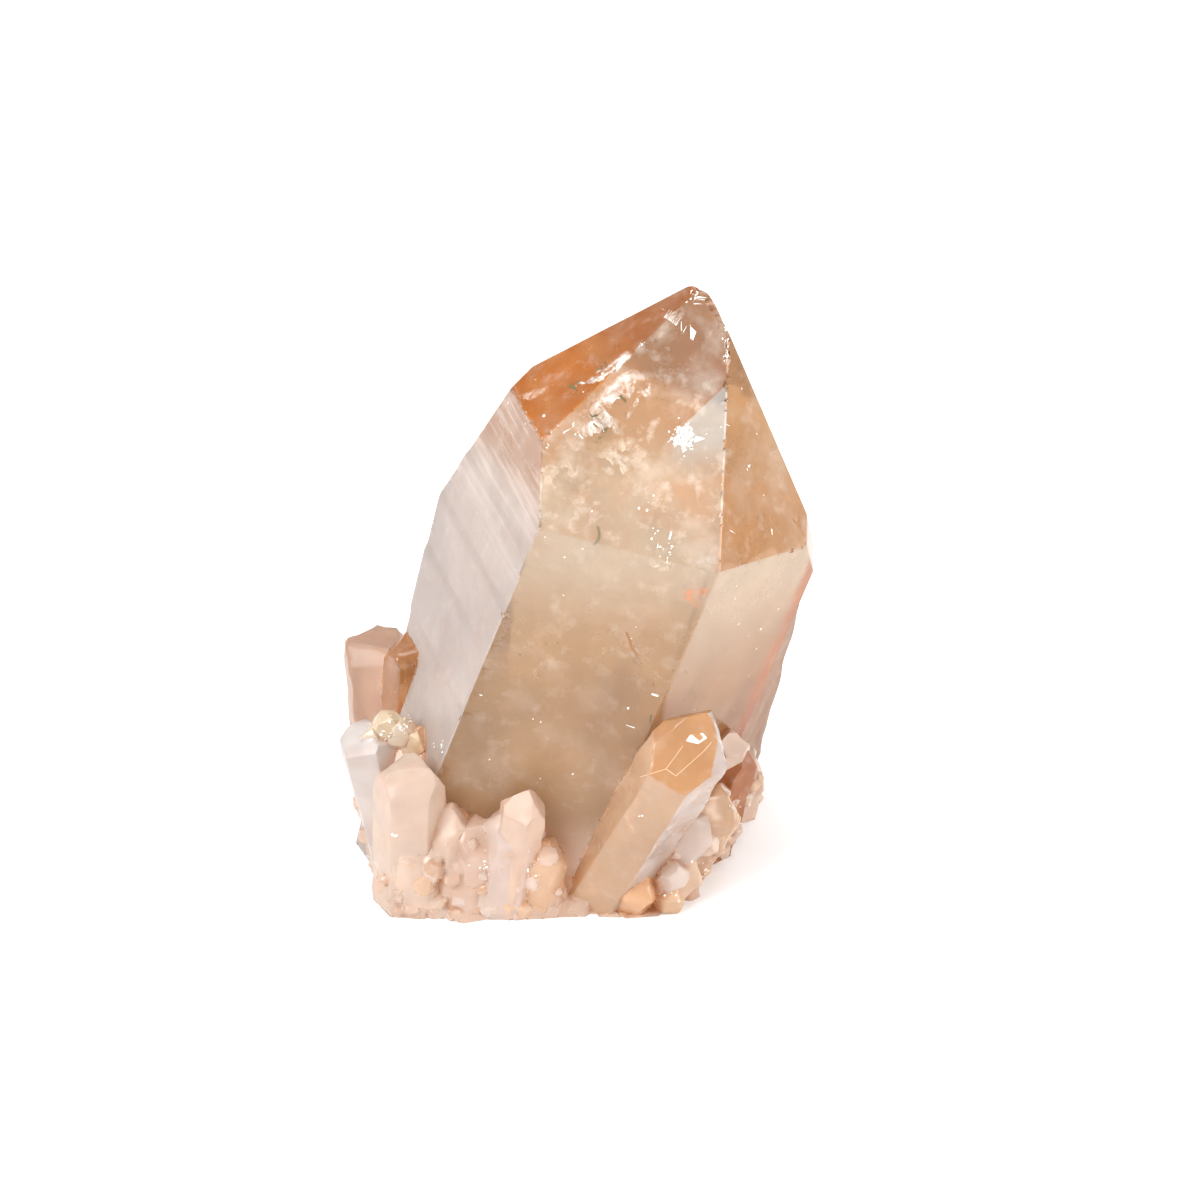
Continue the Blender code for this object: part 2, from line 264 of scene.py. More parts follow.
def worn_block(planes, half, wear, rng):
    """A convex block between the planes, in mm, with its edges worn off flat about this wide."""
    mesh = bmesh.new()
    bmesh.ops.create_cube(mesh, size=2 * half)
    cut_by(mesh, planes)
    worn = []
    for edge in mesh.edges:
        first, second = (face.normal for face in edge.link_faces)
        between = (first + second).normalized()
        width = wear * rng.uniform(0.5, 1.4)
        depth = width / 2 * math.tan(first.angle(second) / 2)
        worn.append((between, between.dot(edge.verts[0].co) - depth))
    if wear:
        cut_by(mesh, worn)
    return mesh


grains = []


def object_from(mesh, name, matrix, collection):
    """Turns a bmesh in mm into an object in metres and numbers its faces after the crystal."""
    layer = mesh.faces.layers.int.new("grain")
    grains.append(name)
    for face in mesh.faces:
        face[layer] = len(grains) - 1
    bmesh.ops.transform(mesh, matrix=Matrix.Scale(MM, 4) @ matrix, verts=mesh.verts[:])
    data = bpy.data.meshes.new(name)
    mesh.to_mesh(data)
    mesh.free()
    made = bpy.data.objects.new(name, data)
    collection.objects.link(made)
    return made


def main_lean():
    towards = Matrix.Rotation(math.radians(LEAN_TOWARDS), 4, "Z")
    lean = Matrix.Rotation(math.radians(LEAN), 4, "Y")
    return towards @ lean @ towards.inverted()


def main_planes():
    planes = {"cut_end": (unit_normal(0, 180), MAIN_ROOT)}
    for kind, faces in (("prism", PRISM_FACES), ("tip", TIP_FACES), ("corner", CORNER_FACES)):
        for side, (bearing, slope, distance) in faces.items():
            planes[f"{kind}_{side}"] = (unit_normal(bearing, slope), distance)
    return planes


def quartz_planes(length, radius, spin, broken, rng, root=ROOT, lopsided=0.0, lopsided_towards=0.0):
    planes = [(unit_normal(0, 180), root)]
    for side in range(6):
        bearing = spin + 60 * side
        reach = radius * math.cos(math.radians(30)) * rng.uniform(0.88, 1.08)
        planes.append((unit_normal(bearing, 90), reach))
        apex = length + MINOR_FACE_SET_BACK * radius * (side % 2) * rng.uniform(0.6, 1.3)
        apex -= lopsided * radius * math.cos(math.radians(bearing - lopsided_towards))
        planes.append((unit_normal(bearing, TIP_SLOPE), apex * math.cos(math.radians(TIP_SLOPE))))
    if broken:
        slope = rng.uniform(4, 16)
        bearing = rng.uniform(0, 360)
        planes.append((unit_normal(bearing, slope), length - broken * radius))
    return planes


def quartz_point(name, foot, tip, radius, spin, broken, rng, collection, **habit):
    foot = Vector(foot)
    along = Vector(tip) - foot
    planes = quartz_planes(along.length, radius, spin, broken, rng, **habit)
    upright = along.normalized()
    across = Vector((1, 0, 0)).cross(upright).normalized().cross(upright) * -1
    depth = upright.cross(across)
    stand = Matrix((across, depth, upright)).transposed().to_4x4()
    stand.translation = foot
    block = worn_block(planes, along.length + ROOT, SMALL_EDGE, wear_source)
    return object_from(block, name, stand, collection)


def on_rim(bearing, share):
    turn = math.radians(bearing)
    x = RIM_CENTRE[0] + RIM_HALF_WIDTH * share * math.cos(turn)
    y = RIM_CENTRE[1] + RIM_HALF_DEPTH * share * math.sin(turn)
    return Vector((x, y, 0.0))


def skyline(x):
    for (left, low), (right, high) in zip(SKYLINE, SKYLINE[1:]):
        if x <= right:
            return low + (high - low) * (x - left) / (right - left)
    return SKYLINE[-1][1]


def helper_collection(name):
    made = bpy.data.collections.new(name)
    scene.collection.children.link(made)
    return made


def combined(target, steps):
    """Joins or cuts the target with each collection in turn and keeps the result as plain mesh."""
    for name, operation, collection in steps:
        boolean = target.modifiers.new(name, "BOOLEAN")
        boolean.operation = operation
        boolean.operand_type = "COLLECTION"
        boolean.collection = collection
        boolean.solver = "EXACT"
    graph = bpy.context.evaluated_depsgraph_get()
    result = bpy.data.meshes.new_from_object(target.evaluated_get(graph))
    target.modifiers.clear()
    target.data = result
    for name, operation, collection in steps:
        for helper in list(collection.objects):
            bpy.data.objects.remove(helper, do_unlink=True)
        bpy.data.collections.remove(collection)


random_source = random.Random(7)
wear_source = random.Random(11)
chip_source = random.Random(23)
grown = helper_collection("grown_together")
chipped = helper_collection("chipped_off")
below = helper_collection("below_the_cut")

crystal = object_from(
    worn_block(main_planes().values(), BLOCK_HALF, MAIN_EDGE, wear_source), "crystal", main_lean(),
    scene.collection,
)
quartz_point(
    "satellite", SATELLITE_FOOT, SATELLITE_TIP, SATELLITE_RADIUS, SATELLITE_SPIN, 0, random_source, grown
)
for crystal_name, (foot, tip, radius, spin, broken) in SMALL_CRYSTALS.items():
    quartz_point(crystal_name, foot, tip, radius, spin, broken, random_source, grown)
quartz_point(
    "right_front", RIGHT_FRONT_FOOT, RIGHT_FRONT_TIP, RIGHT_FRONT_RADIUS, RIGHT_FRONT_SPIN,
    RIGHT_FRONT_BROKEN, random_source, grown, lopsided=RIGHT_FRONT_LOPSIDED,
    lopsided_towards=RIGHT_FRONT_LOPSIDED_TOWARDS,
)
for number in range(BACK_COUNT):
    bearing = BACK_FROM + (BACK_TO - BACK_FROM) * number / (BACK_COUNT - 1) + random_source.uniform(-4, 4)
    outer = number % 2
    foot = on_rim(bearing, random_source.uniform(*(BACK_OUTER if outer else BACK_INNER)))
    length = random_source.uniform(*(BACK_OUTER_LENGTH if outer else BACK_INNER_LENGTH))
    lean = math.radians(random_source.uniform(*BACK_LEAN))
    out = unit_normal(bearing + random_source.uniform(-25, 25), math.degrees(lean))
    radius = random_source.uniform(*BACK_RADIUS)
    broken = random_source.choice((0.0, 0.2, 0.6))
    quartz_point(
        f"back_{number:02d}", foot, foot + out * length, radius, random_source.uniform(0, 60), broken,
        random_source, grown,
    )
for row, (y, share, radii) in enumerate(FRONT_ROWS):
    count = int((FRONT_RIGHT - FRONT_LEFT) / FRONT_STEP)
    for number in range(count):
        x = FRONT_LEFT + FRONT_STEP * (number + 0.5 * (row % 2)) + random_source.uniform(-0.4, 0.4)
        foot = Vector((x, y + random_source.uniform(-0.2, 0.5), 0.0))
        rise = skyline(x) * share * random_source.uniform(0.75, 1.1)
        sideways = random_source.uniform(-0.16, 0.22) * rise
        tip = foot + Vector((sideways, -random_source.uniform(0.0, 0.16) * rise, rise))
        broken = random_source.choice((0.1, 0.4, 0.7))
        radius = random_source.uniform(*radii)
        quartz_point(
            f"front_{row}_{number:02d}", foot, tip, radius, random_source.uniform(0, 60), broken,
            random_source, grown,
        )

mass = bmesh.new()
bmesh.ops.create_cone(
    mass, cap_ends=True, segments=18, radius1=MASS_RADIUS, radius2=MASS_TOP_RADIUS, depth=2 * MASS_HEIGHT
)
for vert in mass.verts:
    vert.co.xy *= random_source.uniform(0.93, 1.05)
object_from(mass, "mass", Matrix.Translation((RIM_CENTRE[0], RIM_CENTRE[1], 0.0)), grown)

for number in range(LUMP_COUNT):
    lump = bmesh.new()
    bmesh.ops.create_icosphere(lump, subdivisions=1, radius=random_source.uniform(*LUMP_RADIUS))
    for vert in lump.verts:
        vert.co *= 1 + random_source.uniform(-LUMP_ROUGHNESS, LUMP_ROUGHNESS)
    place = on_rim(
        360 * number / LUMP_COUNT + random_source.uniform(-6, 6), random_source.uniform(0.84, 0.95)
    )
    place.z = random_source.uniform(0.6, 2.6)
    turn = Matrix.Rotation(random_source.uniform(0, math.tau), 4, "Z")
    object_from(lump, f"lump_{number:02d}", Matrix.Translation(place) @ turn, grown)

lean = main_lean()
axis_foot = Vector((0, 0, 0))
main_axis = lean.to_3x3() @ Vector((0, 0, 1))
for edge_number, (first, last, count, radii, bite) in enumerate(CHIPPED_EDGES):
    first, last = Vector(first), Vector(last)
    for number in range(count):
        place = first.lerp(last, (number + chip_source.uniform(0, 1)) / count)
        radius = chip_source.uniform(*radii)
        outwards = (place - main_axis * main_axis.dot(place)).normalized()
        if place.z > 44:
            outwards = (outwards + main_axis).normalized()
        planes = []
        for side in range(CHIP_SIDES):
            direction = Vector([chip_source.gauss(0, 1) for axis in range(3)]).normalized()
            planes.append((direction, radius * chip_source.uniform(0.6, 1.0)))
        chip = worn_block(planes, radius, 0.0, chip_source)
        place = place + outwards * (radius * 0.8 - bite * chip_source.uniform(0.3, 1.0))
        turn = Matrix.Rotation(chip_source.uniform(0, math.tau), 4, "Z")
        object_from(chip, f"chip_{edge_number}_{number}", Matrix.Translation(place) @ turn, chipped)

ground = bmesh.new()
bmesh.ops.create_cube(ground, size=2 * BLOCK_HALF)
squash = Matrix.Scale(GROUND_DEPTH / (2 * BLOCK_HALF), 4, Vector((0, 0, 1)))
sink = Matrix.Translation(Vector((0, 0, -GROUND_DEPTH / 2)))
object_from(ground, "ground", sink @ squash, below)

combined(crystal, (
    ("grown together", "UNION", grown),
    ("chips", "DIFFERENCE", chipped),
    ("flat cut", "DIFFERENCE", below),
))

# Sugar: fragments and tiny crystals that sit on the foot, placed where a line drawn inwards meets it
SUGAR_COUNT = 150
SUGAR_SEED = 31
SUGAR_RADIUS = (0.35, 1.0)
SUGAR_TOP = 7.5
SUGAR_FROM = -185
SUGAR_TO = 10

sugar_source = random.Random(SUGAR_SEED)
sugar = helper_collection("sugar")
foot_shape = BVHTree.FromPolygons(
    [vert.co / MM for vert in crystal.data.vertices],
    [polygon.vertices[:] for polygon in crystal.data.polygons],
)
for number in range(SUGAR_COUNT):
    bearing = math.radians(sugar_source.uniform(SUGAR_FROM, SUGAR_TO))
    height = sugar_source.uniform(0.4, SUGAR_TOP) * sugar_source.uniform(0.4, 1.0)
    start = Vector((RIM_CENTRE[0] + 40 * math.cos(bearing), RIM_CENTRE[1] + 40 * math.sin(bearing), height))
    inwards = Vector((-math.cos(bearing), -math.sin(bearing), 0))
    hit, outwards, index, distance = foot_shape.ray_cast(start, inwards)
    radius = sugar_source.uniform(*SUGAR_RADIUS)
    if hit is None or distance > 31:
        continue
    grain = crystal.data.attributes["grain"].data[index].value
    if grains[grain] in ("crystal", "right_front"):
        continue
    foot = hit + inwards * radius * 0.9
    out = (outwards + Vector((0, 0, 0.8)) + Vector([sugar_source.uniform(-0.7, 0.7) for axis in range(3)])).normalized()
    quartz_point(
        f"sugar_{number:03d}", foot, foot + out * radius * sugar_source.uniform(1.3, 2.2), radius,
        sugar_source.uniform(0, 60), sugar_source.choice((0.2, 0.5, 0.8)), sugar_source, sugar,
        root=radius * 0.5,
    )
FOOT_CRYSTALS = {
    "foot_orange": ((9.0, -13.9, 0.0), (10.2, -16.6, 3.4), 1.8, 10, 0.5),
    "foot_orange_low": ((11.6, -13.6, 0.0), (12.9, -15.9, 1.9), 1.5, 30, 0.4),
    "foot_white": ((11.4, -13.2, 1.2), (13.0, -16.0, 4.5), 1.25, 50, 0.3),
    "gold_low": ((-10.6, -6.5, 9.5), (-11.5, -9.4, 13.2), 1.2, 15, 0.3),
    "gold_high": ((-9.8, -6.5, 9.5), (-10.3, -9.3, 14.6), 1.5, 40, 0.4),
    "gold_mid": ((-8.6, -6.5, 9.5), (-9.2, -9.6, 14.0), 1.4, 20, 0.2),
    "gold_right": ((-7.8, -6.8, 9.0), (-8.0, -9.9, 13.3), 1.4, 5, 0.3),
    "gold_far": ((-6.0, -7.5, 9.0), (-6.2, -9.9, 13.1), 0.9, 25, 0.2),
    "shelf_left": ((-10.4, -7.2, 8.0), (-10.9, -9.9, 11.6), 1.6, 10, 0.6),
    "shelf_mid": ((-8.6, -7.6, 8.0), (-9.0, -10.3, 11.3), 1.7, 35, 0.6),
    "shelf_right": ((-6.8, -8.0, 8.0), (-7.0, -10.6, 11.6), 1.5, 50, 0.6),
}
for crystal_name, (foot, tip, radius, spin, broken) in FOOT_CRYSTALS.items():
    quartz_point(crystal_name, foot, tip, radius, spin, broken, sugar_source, sugar, root=1.5)
below = helper_collection("below_the_cut")
ground = bmesh.new()
bmesh.ops.create_cube(ground, size=2 * BLOCK_HALF)
object_from(ground, "ground", sink @ squash, below)
combined(crystal, (("sugar", "UNION", sugar), ("flat cut", "DIFFERENCE", below)))

# Colours as screen values: the main crystal's faces, the crystals of the foot, and the orange of its clefts, which is
# painted shade mixed with random stains
ZONE_COLOURS = {
    "tip_left": (196, 112, 24),
    "tip_front": (180, 152, 122),
    "tip_right": (192, 146, 100),
    # The pale grey of the left and right prism faces is partly the crystal's own colour and partly painted reflection
    # of the white studio light
    "prism_left": (195, 188, 184),
    "prism_front": (170, 137, 100),
    "prism_right": (196, 178, 152),
    "prism_right_back": (168, 118, 80),
}
OTHER_MAIN = (199, 157, 119)
# How strongly each face is clouded
MOTTLED = {
    "tip_front": 0.9, "tip_left": 0.3, "tip_right": 0.4, "prism_front": 0.28, "prism_left": 0.25, "prism_right": 0.15,
}
GRAIN_COLOURS = {
    "satellite": (168, 126, 92),
    "back_left_tall": (204, 166, 140),
    "back_left_brown": (180, 122, 70),
    "left_outer": (232, 230, 228),
    "left_middle": (240, 220, 202),
    # left_inner is near white: its own pale colour and a painted highlight of its shiny faces
    "left_inner": (255, 244, 220),
    "left_front": (236, 216, 198),
    "left_wedge": (248, 224, 204),
    "front_peach": (248, 222, 204),
    "front_body": (242, 224, 214),
    "front_tip": (244, 218, 198),
    "front_jagged": (242, 205, 170),
    "right_white": (238, 225, 214),
    "right_brown": (172, 98, 40),
    "right_tan": (246, 210, 176),
    "right_outer": (214, 190, 172),
    "right_low": (255, 225, 195),
    "right_front": (222, 188, 154),
    "foot_orange": (255, 205, 160),
    "foot_orange_low": (255, 214, 172),
    "foot_white": (252, 244, 236),
    # The gold crystals are near white: their own pale gold and a painted highlight of their shiny faces
    "gold_low": (255, 246, 222),
    "gold_high": (255, 240, 208),
    "gold_mid": (255, 246, 224),
    "gold_right": (255, 236, 200),
    "gold_far": (255, 248, 234),
    # The shelf crystals' orange-brown is painted shadow under the gold crystals
    "shelf_left": (214, 158, 100),
    "shelf_mid": (206, 150, 92),
    "shelf_right": (200, 146, 92),
}
# Crystals that are melted soft rather than sharp
SOFT_GRAINS = ("mass", "lump", "left_wedge", "front_0", "front_1", "front_2", "front_peach", "front_body",
               "front_jagged", "sugar", "back_left", "right_tan", "right_low", "foot_orange")
SOFTENING = 3
FOOT_COLOURS = ((250, 234, 222), (248, 226, 208), (244, 216, 196), (250, 216, 184), (240, 206, 182))
# Orange for the foot's clefts: painted shade where the crystals close in, with some random stain blotches
CLEFT_SHADE_AND_STAIN = (230, 156, 100)
# Painted shade: a brown band along the back edge of the right prism face, where the crystal behind meets it
EDGE_SHADE = (190, 112, 62)
# Painted reflection: the pale corner of the front tip face
PAINTED_REFLECTION = (192, 191, 186)
DARK_TIP = (180, 136, 104)
FOOT_FADE = (255, 226, 204)

# Size of the surface's grid in mm, and the relief on it in mm: slow waves on the main faces, silk lines
# on the left face, lumps and grain on the foot
GRID = 0.8
LINES_STEP = 0.42
WAVE = 0.012
SILK = 0.02
# Steps of the left face: from and to along the main axis, and how far each stands out, in mm
LEDGES = ((9.0, 26.2, 0.14), (28.6, 31.4, 0.12), (15.5, 21.8, 0.14))
LEDGE_RUN = 0.9
LUMP_RELIEF = 0.2
GRAIN_RELIEF = 0.09
SHARP = math.radians(20)
SHARP_FOOT = math.radians(34)
RAYS = 14
CLEFT_REACH = 3.5


def linear(colour):
    """A colour given as screen values from 0 to 255, as light."""
    return Vector([
        value / 255 / 12.92 if value / 255 <= 0.04045 else ((value / 255 + 0.055) / 1.055) ** 2.4
        for value in colour
    ])


def smooth(low, high, value):
    """0 below low, 1 above high and a soft step between; low may be the higher of the two."""
    share = min(max((value - low) / (high - low), 0.0), 1.0)
    return share * share * (3 - 2 * share)


world_planes = {}
for face_name, (normal, distance) in main_planes().items():
    if face_name != "cut_end":
        world_planes[face_name] = (lean.to_3x3() @ normal, distance)


def zone_of(point, normal):
    """The main crystal's face that this point in mm belongs to, or None."""
    depth = {name: outward.dot(point) - distance for name, (outward, distance) in world_planes.items()}
    nearest = max(depth, key=lambda name: depth[name])
    if depth[nearest] > 0.5:
        return None
    if normal.dot(world_planes[nearest][0]) > 0.6 and depth[nearest] > -0.5:
        return nearest
    if depth[nearest] > -1.2 and point.z > 41:
        return nearest
    return None


skin = bmesh.new()
skin.from_mesh(crystal.data)
bmesh.ops.scale(skin, vec=Vector((1, 1, 1)) / MM, verts=skin.verts[:])


def slice_across(mesh, normal, first, last, step, faces=None):
    place = first
    while place < last:
        chosen = [face for face in mesh.faces if faces is None or face[zone_layer] in faces]
        parts = set(chosen)
        for face in chosen:
            parts.update(face.edges)
            parts.update(face.verts)
        bmesh.ops.bisect_plane(mesh, geom=list(parts), dist=0.01, plane_co=normal * place, plane_no=normal)
        place += step * wear_source.uniform(0.8, 1.2)


zone_names = list(world_planes)
zone_layer = skin.faces.layers.int.new("zone")
for face in skin.faces:
    zone = zone_of(face.calc_center_median(), face.normal)
    face[zone_layer] = zone_names.index(zone) if zone else -1

# Painted reflection: a pale corner of the front tip face, which ends at a straight line
reflection_corner = (Vector((16.37, -8.33, 42.79)), Vector((13.0, -10.24, 40.15)))
reflection_normal = world_planes["tip_front"][0].cross(reflection_corner[1] - reflection_corner[0]).normalized()
front_tip_zone = zone_names.index("tip_front")
slice_across(skin, reflection_normal, reflection_normal.dot(reflection_corner[0]), reflection_normal.dot(reflection_corner[0]) + 0.01, 1, (front_tip_zone,))
low = Vector([min(vert.co[axis] for vert in skin.verts) for axis in range(3)])
high = Vector([max(vert.co[axis] for vert in skin.verts) for axis in range(3)])
for axis in range(3):
    direction = Vector([1.0 if other == axis else 0.0 for other in range(3)])
    slice_across(skin, direction, low[axis] + 0.3, high[axis] - 0.2, GRID)
left_zone = zone_names.index("prism_left")
slice_across(skin, main_axis, 14.0, 44.0, LINES_STEP, (left_zone,))
print("SKIN FACES", len(skin.faces))

# Softened crystals of the foot
grain_layer = skin.faces.layers.int.get("grain")
soft = []
for vert in skin.verts:
    names = {grains[face[grain_layer]] for face in vert.link_faces}
    on_main = any(face[zone_layer] >= 0 for face in vert.link_faces)
    if vert.co.z > 0.3 and not on_main and all(name.startswith(SOFT_GRAINS) for name in names):
        soft.append(vert)
for turn in range(SOFTENING):
    bmesh.ops.smooth_vert(skin, verts=soft, factor=0.5, use_axis_x=True, use_axis_y=True, use_axis_z=True)
skin.normal_update()

# Relief
for vert in skin.verts:
    zones = {face[zone_layer] for face in vert.link_faces}
    place = vert.co
    if place.z < 0.05:
        continue
    if -1 in zones:
        move = LUMP_RELIEF * noise.noise(place * 0.45) + GRAIN_RELIEF * noise.noise(place * 1.9)
        if len(zones) > 1:
            move *= 0.3
    else:
        move = WAVE * noise.noise(place * 0.35)
        if left_zone in zones:
            along = main_axis.dot(place)
            silk = smooth(24, 34, along)
            move += SILK * silk * noise.noise(Vector((along * 1.7, 0.3 * place.y, 5.0)))
            for bottom, top, proud in LEDGES:
                step = smooth(bottom, bottom + LEDGE_RUN, along) * smooth(top, top - LEDGE_RUN, along)
                move += proud * step
    vert.co += vert.normal * move

# Openness: the share of lines drawn outwards from a point that meet no other crystal close by. The less open a point,
# the more painted shade it gets in the foot's clefts
bmesh.ops.triangulate(skin, faces=[face for face in skin.faces if len(face.verts) > 4])
around = BVHTree.FromBMesh(skin)
directions = []
for number in range(RAYS):
    height = (number + 0.5) / RAYS
    turn = number * 2.39996
    flat = math.sqrt(1 - height * height)
    directions.append(Vector((flat * math.cos(turn), flat * math.sin(turn), height)))
up = Vector((0, 0, 1))
for face in skin.faces:
    face.normal_update()
openness = {}
for vert in skin.verts:
    if vert.co.z > 22 or all(face[zone_layer] >= 0 for face in vert.link_faces) and vert.co.z > 12:
        openness[vert.index] = 1.0
        continue
    spin = up.rotation_difference(vert.normal)
    start = vert.co + vert.normal * 0.05
    blocked = 0.0
    for direction in directions:
        hit = around.ray_cast(start, spin @ direction, CLEFT_REACH)
        if hit[0] is not None:
            blocked += 1.0 - hit[3] / CLEFT_REACH * 0.5
    openness[vert.index] = 1.0 - blocked / RAYS

# Colour and haze
tint_layer = skin.loops.layers.float_color.new("tint")
haze_layer = skin.verts.layers.float.new("haze")
silk_layer = skin.verts.layers.float.new("silk")
mottle_layer = skin.verts.layers.float.new("mottle")
right_outward, right_distance = world_planes["prism_right"]
back_outward, back_distance = world_planes["prism_right_back"]
tone_source = random.Random(5)
grain_tones = []
for name in grains:
    grain_tones.append(linear(GRAIN_COLOURS.get(name, tone_source.choice(FOOT_COLOURS))))
cleft_shade_and_stain = linear(CLEFT_SHADE_AND_STAIN)
right_front_axis = (Vector(RIGHT_FRONT_TIP) - Vector(RIGHT_FRONT_FOOT)).normalized()
for face in skin.faces:
    zone = zone_names[face[zone_layer]] if face[zone_layer] >= 0 else None
    middle = face.calc_center_median()
    for loop in face.loops:
        place = loop.vert.co
        ragged = place.z + 3.5 * noise.noise(place * 0.3) + 1.6 * noise.noise(place * 1.1)
        silk = 0.0
        if zone is None:
            colour = grain_tones[face[grain_layer]].copy()
            # Painted shade: closed-in clefts get the orange cleft colour; the noise blotches are stains
            closed = smooth(0.75, 0.25, openness[loop.vert.index])
            blotch = smooth(-0.1, 0.5, noise.noise(place * 0.5))
            if grains[face[grain_layer]] == "right_front":
                upright = right_front_axis.dot(face.normal)
                colour = colour.lerp(linear((224, 170, 118)), smooth(0.25, 0.5, upright))
                colour = colour.lerp(linear((216, 208, 204)), smooth(0.25, 0.7, face.normal.x))
            colour = colour.lerp(cleft_shade_and_stain, min(1.0, 0.6 * closed + 0.12 * blotch))
            mottle = 0.25
            name = grains[face[grain_layer]]
            haze = 0.1 if name.startswith("gold") else 0.16 if face[grain_layer] % 3 == 0 else 0.4
        else:
            colour = linear(ZONE_COLOURS.get(zone, OTHER_MAIN))
            haze = 0.06
            mottle = MOTTLED.get(zone, 0.5)
            if zone == "prism_front":
                colour = colour.lerp(linear((194, 184, 166)), 0.85 * smooth(23, 33, place.z))
                colour = colour.lerp(linear(FOOT_FADE), smooth(9, 3, place.z))
                haze = 0.08 + 0.34 * smooth(27, 17, ragged)
            elif zone == "prism_left":
                colour = colour.lerp(linear((162, 120, 90)), 0.9 * smooth(33, 37, place.z))
                haze = 0.42 - 0.3 * smooth(35, 39, ragged)
                # Where the left face gets the painted sheen of its silky lines
                silk = smooth(24, 34, main_axis.dot(place))
            elif zone == "prism_right":
                edge_depth = back_distance - back_outward.dot(place)
                colour = colour.lerp(linear((168, 126, 86)), smooth(31, 16, place.z))
                # Painted shade along the back edge of the right prism face
                colour = colour.lerp(linear(EDGE_SHADE), 0.95 * smooth(1.5, 0.9, edge_depth))
                haze = 0.2
            elif zone == "tip_front":
                colour = colour.lerp(linear((194, 178, 156)), smooth(41, 34, place.z))
                colour = colour.lerp(linear((177, 135, 99)), 0.85 * smooth(37, 41.5, place.z))
                haze = 0.22
                # Painted reflection on the pale corner, right of its line
                side = reflection_normal.dot(middle - reflection_corner[0])
                right = smooth(11.5, 13.0, place.x)
                if side > 0:
                    colour = colour.lerp(linear(PAINTED_REFLECTION), right * smooth(36.5, 39.5, place.z))
                else:
                    colour = colour.lerp(linear(DARK_TIP), 0.8 * right)
            elif zone in ("prism_back", "prism_left_back", "prism_right_back"):
                haze = 0.1 + 0.35 * smooth(27, 17, ragged)
            elif zone == "tip_left":
                streak = noise.noise(Vector((place.x * 0.4 + place.z * 0.5, place.y * 0.3, 2.0)))
                colour = colour.lerp(linear((212, 160, 110)), 0.35 * smooth(0.0, 0.4, streak))
                colour = colour.lerp(linear((172, 108, 58)), 0.8 * smooth(5.5, 9.5, place.x))
            elif zone == "tip_right":
                colour = colour.lerp(linear((204, 178, 150)), 0.7 * smooth(17.5, 22.5, place.x))
                colour = colour.lerp(linear((190, 138, 84)), 0.5 * smooth(37, 31, place.z))
        loop[tint_layer] = (*colour, 1)
        loop.vert[haze_layer] = haze
        loop.vert[silk_layer] = silk
        loop.vert[mottle_layer] = mottle
for face in skin.faces:
    face.smooth = True
for edge in skin.edges:
    limit = SHARP if any(face[zone_layer] >= 0 for face in edge.link_faces) else SHARP_FOOT
    edge.smooth = len(edge.link_faces) == 2 and edge.calc_face_angle(0) < limit
bmesh.ops.scale(skin, vec=Vector((1, 1, 1)) * MM, verts=skin.verts[:])
skin.to_mesh(crystal.data)
skin.free()
